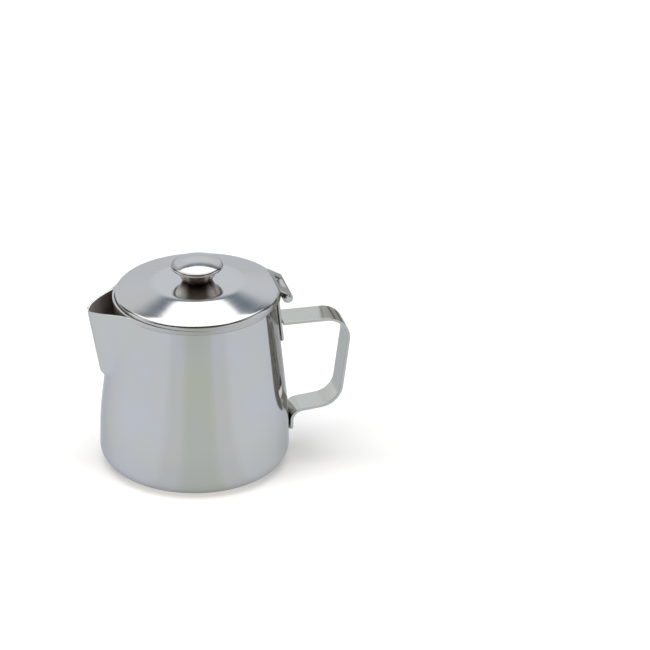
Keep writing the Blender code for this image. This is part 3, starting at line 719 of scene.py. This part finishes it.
def flarePath(footRadius, foot, topRadius, top):
    side = []
    for i in range(flareSteps + 1):
        t = i / flareSteps
        waist = 4 * knob["neckBulge"] * t * (1 - t)
        side.append(Vector((lerp(footRadius, topRadius, t) - waist, lerp(foot, top, t))))
    return side


def makeKnobCap():
    lipX = knob["radius"] - knob["lip"]
    reach = knob["domeRadius"] - knob["lip"]
    ballZ = lipZ - math.sqrt(reach ** 2 - lipX ** 2)
    edge = math.asin(lipX / reach)
    lip = arcPoints((lipX, lipZ), knob["lip"], math.pi / 2 - edge, -lipTurn)
    hollow, inner = knob["domeRadius"] - knob["sheet"], knob["flareRadius"] + seatGap
    inside = domePath(ballZ, hollow, math.asin(inner / hollow)) + [Vector((inner, lip[-1].y))]
    profile = domePath(ballZ, knob["domeRadius"], edge) + lip[1:] + inside[::-1]
    cap = turnedMesh(profile, knobSegments, lidCentre)
    finishes = [buffedCap, buffedLid]
    addPiece("knobCap", leaned(cap), finishes, "lid", "knob_cap")
    for face in cap.polygons:  # the turned-under half of the roll takes the lid's finish, without the cap's painted shade
        if face.normal.z < 0.4:
            face.material_index = finishes.index(buffedLid)


def makeKnobStem():
    bottom = knobFoot + knob["sheet"]
    boss = lid["screwBore"] + knob["bossWall"]
    bossTop = screwTip + knob["sheet"]
    outside = flarePath(knob["footRadius"], lidTop, knob["flareRadius"], stemTop)  # pulled tight to the lid
    inside = flarePath(knob["footRadius"] - knob["sheet"], bottom,
                       knob["flareRadius"] - knob["sheet"], stemTop)
    profile = [Vector((lid["screwBore"], knobFoot))] + outside + inside[::-1]
    profile += [Vector((boss, bottom)), Vector((boss, bossTop)), Vector((lid["screwBore"], bossTop))]
    stem = turnedMesh(profile, knobSegments, lidCentre, closed=True)
    addPiece("knobStem", leaned(stem), [satinStem], "lid", "knob_stem")


def makeKnobWasher():
    inner, outer = lid["screwBore"], knob["washerRadius"]
    ring = [(inner, washerTop), (outer, washerTop), (outer, washerLow), (inner, washerLow)]
    washer = turnedMesh(ring, fastenerSegments, lidCentre, closed=True)
    edge = knob["washerEdge"]
    addPiece("knobWasher", leaned(washer), [turnedFastener], "lid", "knob_washer", edge)


def makeKnobScrew():
    headTop = washerLow - seatGap
    headLow = headTop - knob["screwHead"]
    rounding = knob["screwHead"] / 2
    corner = arcPoints((knob["screwHeadRadius"] - rounding, headLow + rounding), rounding, 0.0, -math.pi / 2)
    profile = [
        Vector((0.0, screwTip)),
        Vector((knob["screwRadius"], screwTip)),
        Vector((knob["screwRadius"], headTop)),
        Vector((knob["screwHeadRadius"], headTop)),
    ]
    solid = turnedMesh(densePath(profile + corner + [Vector((0.0, headLow))]), fastenerSegments, lidCentre)
    past, half = 2 * knob["screwHeadRadius"], knob["screwSlot"] / 2
    low, high = headLow - rounding, headLow + rounding
    slot = boxMesh((lidCentre - past, -half, low), (lidCentre + past, half, high))
    addPiece("knobScrew", leaned(cutMesh(solid, slot)), [turnedFastener], "lid", "knob_screw")


makeBody()
makeBeak()
print("body and beak made")
makeHandle()
makeHingeStrap()
makeLidLeaf()
makePin()
print("handle and hinge made")
makeLid()
makeKnobCap()
makeKnobStem()
makeKnobWasher()
makeKnobScrew()
print("lid and knob made")


# Studio: white floor, pale surround that darkens upwards, a dim warm room behind the camera
# and one big soft panel overhead. Angles are degrees.

roomColor = "#5a4f48"
roomAngle = math.radians(-104.1)
towardsRoom = Vector((math.cos(roomAngle), math.sin(roomAngle), 0.0))
acrossRoom = Vector((-towardsRoom.y, towardsRoom.x, 0.0))  # to the right in the photograph


def addStage(name, mesh, material):
    mesh.name = name
    mesh.materials.append(material)
    piece = bpy.data.objects.new(name, mesh)
    bpy.context.scene.collection.objects.link(piece)
    return piece


# Floor: a paper sweep. In the polish only, it carries painted shade: a little darker in front, for the shade
# of the camera.

floor = {
    "halfSize": 6.0, "sink": 0.00005,  # a hair under the foot, so that the two never share a plane
    "color": "#f5f2ed", "inPolish": "#edf2fc", "roughness": 0.9, "specular": 0.1,
    "glow": 0.17, "paintedFrontLight": 0.55, "paintedFrontLightOver": 0.05, "polishGlow": 0.68, "farFrom": 0.3, "farTo": 0.9,
    "shadeTurn": 6.5,
    "beside": "#e5e9f0", "besideAngle": 35.0, "besideBlur": 6.0,
    "wedge": "#dae1dd", "wedgeAngle": 15.0, "wedgeBlur": 6.0,
    "room": roomColor, "roomAngle": 26.0, "roomBlur": 14.0, "roomFrom": 0.3, "roomTo": 0.8,
}


def makeFloor():
    mesh = bpy.data.meshes.new("studioFloor")
    half, sink = floor["halfSize"], floor["sink"]
    corners = [(-half, -half, -sink), (half, -half, -sink), (half, half, -sink), (-half, half, -sink)]
    mesh.from_pydata(corners, [], [(0, 1, 2, 3)])
    material = bpy.data.materials.new("paperSweep")
    material.use_nodes = True
    tree = material.node_tree
    shader = tree.nodes["Principled BSDF"]
    shader.inputs["Roughness"].default_value = floor["roughness"]
    shader.inputs["Specular IOR Level"].default_value = floor["specular"]
    rays = addNode(tree, "LightPath").outputs
    seen, inPolish = rays["Is Camera Ray"], rays["Is Glossy Ray"]
    place = addNode(tree, "NewGeometry").outputs["Position"]
    way = addNode(tree, "VectorMath", {0: place}, operation="NORMALIZE").outputs[0]
    shadeWay = Matrix.Rotation(math.radians(floor["shadeTurn"]), 3, "Z") @ towardsRoom
    facing = addNode(tree, "VectorMath", {0: way, 1: shadeWay}, operation="DOT_PRODUCT").outputs["Value"]
    ahead = addNode(tree, "VectorMath", {0: place, 1: towardsRoom}, operation="DOT_PRODUCT").outputs["Value"]
    away = addNode(tree, "VectorMath", {0: place}, operation="LENGTH").outputs["Value"]

    color = {0: inPolish, 6: toLinear(floor["color"]), 7: toLinear(floor["inPolish"])}
    color = addNode(tree, "Mix", color, **asColor).outputs[2]
    # painted shade on the floor, seen only in the polish: darker fields in front of the pot, and the room's
    # dark colour further off
    for shade in ("beside", "wedge", "room"):
        edge, blur = floor[shade + "Angle"], floor[shade + "Blur"]
        outer, inner = (math.cos(math.radians(angle)) for angle in (edge + blur, edge - blur))
        share = addNode(tree, "MapRange", {0: facing, 1: outer, 2: inner}, **softStep).outputs[0]
        share = addNode(tree, "Math", {0: share, 1: inPolish}, operation="MULTIPLY").outputs[0]
        if shade == "room":  # the room's painted shade starts a little way off
            span = {0: ahead, 1: floor["roomFrom"], 2: floor["roomTo"]}
            off = addNode(tree, "MapRange", span, **softStep).outputs[0]
            share = addNode(tree, "Math", {0: off, 1: share}, operation="MULTIPLY").outputs[0]
        color = addNode(tree, "Mix", {0: share, 6: color, 7: toLinear(floor[shade])}, **asColor).outputs[2]

    flat = addNode(tree, "Math", {0: inPolish, 1: floor["polishGlow"]}, operation="MULTIPLY").outputs[0]
    rest = addNode(tree, "Math", {0: 1.0, 1: flat}, operation="SUBTRACT").outputs[0]
    lit = addNode(tree, "VectorMath", {0: color, "Scale": rest}, operation="SCALE").outputs[0]
    # painted light: the floor glows more just in front of the pot, which thins the shadow there
    span = {0: ahead, 1: 0.0, 2: floor["paintedFrontLightOver"], 3: floor["glow"], 4: floor["paintedFrontLight"]}
    bright = addNode(tree, "MapRange", span, **softStep).outputs[0]
    near = addNode(tree, "Math", {0: seen, 1: bright, 2: flat}, operation="MULTIPLY_ADD").outputs[0]
    # the sweep is as white far off as round the pot
    white = addNode(tree, "Math", {0: seen, 1: inPolish}, operation="MAXIMUM").outputs[0]
    span = {0: away, 1: floor["farFrom"], 2: floor["farTo"], 3: near, 4: white}
    glow = addNode(tree, "MapRange", span, **softStep).outputs[0]
    for name, socket in {"Base Color": lit, "Emission Color": color, "Emission Strength": glow}.items():
        tree.links.new(socket, shader.inputs[name])
    addStage("studioFloor", mesh, material)


# Grey card, bent round, that only shows in the polish: a painted reflection. Its white middle faces the pot,
# and the handle's bend picks up its two dark level lines.

card = {
    "color": "#8f8a84", "middle": "#ffffff", "middleFrom": 0.86, "middleTo": 0.94,
    "radius": 0.058, "height": 0.125, "place": (0.1408, 0.0636, 0.0), "segments": 64,
    "lines": (0.0815, 0.0655), "lineFrom": 0.0015, "lineTo": 0.003,
}


def makeCard():
    mesh = turnedMesh([(card["radius"], 0.0), (card["radius"], card["height"])], card["segments"])
    material = bpy.data.materials.new("greyCard")
    material.use_nodes = True
    tree = material.node_tree
    place = addNode(tree, "TexCoord").outputs["Object"]
    towardsPot = Vector(card["place"]).normalized() / -card["radius"]
    facing = addNode(tree, "VectorMath", {0: place, 1: towardsPot}, operation="DOT_PRODUCT").outputs["Value"]
    span = {0: facing, 1: card["middleFrom"], 2: card["middleTo"]}
    middle = addNode(tree, "MapRange", span, **softStep).outputs[0]
    height = addNode(tree, "SeparateXYZ", {0: place}).outputs[2]
    # painted reflection: two dark level lines across the card's white middle
    for line in card["lines"]:
        off = addNode(tree, "Math", {0: height, 1: line}, operation="SUBTRACT").outputs[0]
        off = addNode(tree, "Math", {0: off}, operation="ABSOLUTE").outputs[0]
        clear = {0: off, 1: card["lineFrom"], 2: card["lineTo"]}
        clear = addNode(tree, "MapRange", clear, **softStep).outputs[0]
        middle = addNode(tree, "Math", {0: middle, 1: clear}, operation="MULTIPLY").outputs[0]
    color = {0: middle, 6: toLinear(card["color"]), 7: toLinear(card["middle"])}
    color = addNode(tree, "Mix", color, **asColor).outputs[2]
    tree.links.new(color, tree.nodes["Principled BSDF"].inputs["Base Color"])
    piece = addStage("greyCard", mesh, material)
    piece.location = card["place"]
    piece.visible_camera = False
    piece.visible_shadow = False
    piece.visible_diffuse = False


# Surround: pale paper low down, darker higher up, the room behind the camera. The camera sees white.

surround = {
    "low": "#eef5ff", "lowStrength": 1.155, "dimsAcross": 0.08, "dimsUp": 0.24,
    "spot": 0.13, "spotHeight": 28.0, "spotInner": 4.0, "spotOuter": 18.0,
    "gap": "#4a4744", "gapMiddle": 0.42, "gapHalf": 0.24,
    "high": "#6e8096", "highMiddle": "#9aa7b5", "middleFrom": 0.955, "middleTo": 0.995,
    "lowUpTo": 36.0, "highFrom": 46.0, "slant": 0.09,  # the paper's upper edge is lower at the right
    "room": roomColor, "roomFrom": 0.1, "roomTo": 0.55, "toCamera": "#ffffff",
}


def makeSurround():
    world = bpy.data.worlds.new("studioSurround")
    bpy.context.scene.world = world
    world.use_nodes = True
    tree = world.node_tree
    place = addNode(tree, "TexCoord").outputs["Generated"]
    upwards = Vector((0, 0, 1))

    # the paper low down dims to the right and upwards, and has a soft spot behind the pot
    dims = acrossRoom * surround["dimsAcross"] + upwards * surround["dimsUp"]
    dim = addNode(tree, "VectorMath", {0: place, 1: dims}, operation="DOT_PRODUCT").outputs["Value"]
    level = addNode(tree, "Math", {0: surround["lowStrength"], 1: dim}, operation="SUBTRACT").outputs[0]
    rise = math.radians(surround["spotHeight"])
    spotWay = upwards * math.sin(rise) - towardsRoom * math.cos(rise)
    outer, inner = (math.cos(math.radians(surround[name])) for name in ("spotOuter", "spotInner"))
    spot = addNode(tree, "VectorMath", {0: place, 1: spotWay}, operation="DOT_PRODUCT").outputs["Value"]
    span = {0: spot, 1: outer, 2: inner, 4: surround["spot"]}
    spot = addNode(tree, "MapRange", span, **softStep).outputs[0]
    level = addNode(tree, "Math", {0: level, 1: spot}, operation="ADD").outputs[0]
    low = {0: toLinear(surround["low"])[:3], "Scale": level}
    low = addNode(tree, "VectorMath", low, operation="SCALE").outputs[0]

    # a dark gap stands at each side of it, and the middle is paler higher up
    flatWay = addNode(tree, "VectorMath", {0: place, 1: (1, 1, 0)}, operation="MULTIPLY").outputs[0]
    flatWay = addNode(tree, "VectorMath", {0: flatWay}, operation="NORMALIZE").outputs[0]
    behind = {0: flatWay, 1: -towardsRoom}
    behind = addNode(tree, "VectorMath", behind, operation="DOT_PRODUCT").outputs["Value"]
    aside = addNode(tree, "Math", {0: behind, 1: surround["gapMiddle"]}, operation="SUBTRACT").outputs[0]
    aside = addNode(tree, "Math", {0: aside}, operation="ABSOLUTE").outputs[0]
    span = {0: aside, 1: surround["gapHalf"], 2: surround["gapHalf"] / 2}
    gap = addNode(tree, "MapRange", span, **softStep).outputs[0]
    low = addNode(tree, "Mix", {0: gap, 6: low, 7: toLinear(surround["gap"])}, **asColor).outputs[2]
    span = {0: behind, 1: surround["middleFrom"], 2: surround["middleTo"]}
    middle = addNode(tree, "MapRange", span, **softStep).outputs[0]
    high = {0: middle, 6: toLinear(surround["high"]), 7: toLinear(surround["highMiddle"])}
    high = addNode(tree, "Mix", high, **asColor).outputs[2]

    tilted = acrossRoom * surround["slant"] + upwards
    height = addNode(tree, "VectorMath", {0: place, 1: tilted}, operation="DOT_PRODUCT").outputs["Value"]
    lowEdge, highEdge = (math.sin(math.radians(surround[name])) for name in ("lowUpTo", "highFrom"))
    up = addNode(tree, "MapRange", {0: height, 1: lowEdge, 2: highEdge}, **softStep).outputs[0]
    color = addNode(tree, "Mix", {0: up, 6: low, 7: high}, **asColor).outputs[2]
    facing = addNode(tree, "VectorMath", {0: place, 1: towardsRoom}, operation="DOT_PRODUCT").outputs["Value"]
    span = {0: facing, 1: surround["roomFrom"], 2: surround["roomTo"]}
    room = addNode(tree, "MapRange", span, **softStep).outputs[0]
    color = addNode(tree, "Mix", {0: room, 6: color, 7: toLinear(surround["room"])}, **asColor).outputs[2]
    seen = addNode(tree, "LightPath").outputs["Is Camera Ray"]
    color = addNode(tree, "Mix", {0: seen, 6: color, 7: toLinear(surround["toCamera"])}, **asColor).outputs[2]
    tree.links.new(color, tree.nodes["Background"].inputs["Color"])


# Soft panel overhead, its reach given each way from above the pot

panel = {
    "height": 1.0, "back": 0.726, "front": 0.6, "left": 0.75, "right": 0.6, "turn": 4.0, "radiance": 2.14,
}


def makePanel():
    width = panel["left"] + panel["right"]
    length = panel["back"] + panel["front"]
    light = bpy.data.lights.new("panelOverhead", "AREA")
    light.shape = "RECTANGLE"
    light.size = width
    light.size_y = length
    light.energy = panel["radiance"] * math.pi * width * length
    lamp = bpy.data.objects.new("panelOverhead", light)
    bpy.context.scene.collection.objects.link(lamp)
    turn = Matrix.Rotation(math.radians(panel["turn"]), 3, "Z")
    across, back = turn @ acrossRoom, turn @ -towardsRoom
    turned = Matrix((across, back, (0, 0, 1))).transposed().to_4x4()
    turned.translation = (across * (panel["right"] - panel["left"]) / 2
                          + back * (panel["back"] - panel["front"]) / 2
                          + Vector((0, 0, panel["height"])))
    lamp.matrix_world = turned


# Camera at the photograph's viewing angle

view = {
    "azimuth": -14.1, "elevation": 26.62, "roll": 0.61, "distance": 2.5, "sensor": 36,
    "metresPerPixel": 0.000504, "originPixel": (194.7, 454.8), "imageSize": 650,
}


def makeCamera():
    azimuth, elevation, roll = (math.radians(view[name]) for name in ("azimuth", "elevation", "roll"))
    back = Vector((math.sin(azimuth) * math.cos(elevation), -math.cos(azimuth) * math.cos(elevation),
                   math.sin(elevation)))
    right = Vector((math.cos(azimuth), math.sin(azimuth), 0.0))
    up = back.cross(right)
    right, up = math.cos(roll) * right + math.sin(roll) * up, math.cos(roll) * up - math.sin(roll) * right
    middle = view["imageSize"] / 2
    offsetX = (view["originPixel"][0] - middle) * view["metresPerPixel"]
    offsetY = (middle - view["originPixel"][1]) * view["metresPerPixel"]
    data = bpy.data.cameras.new("camera")
    data.sensor_width = view["sensor"]
    data.lens = view["distance"] / view["metresPerPixel"] * data.sensor_width / view["imageSize"]
    camera = bpy.data.objects.new("camera", data)
    bpy.context.scene.collection.objects.link(camera)
    turned = Matrix((right, up, back)).transposed().to_4x4()
    turned.translation = view["distance"] * back - offsetX * right - offsetY * up
    camera.matrix_world = turned
    bpy.context.scene.camera = camera


makeFloor()
makeCard()
makeSurround()
makePanel()
makeCamera()
bpy.context.scene.view_settings.view_transform = "Standard"
print("studio and camera made")
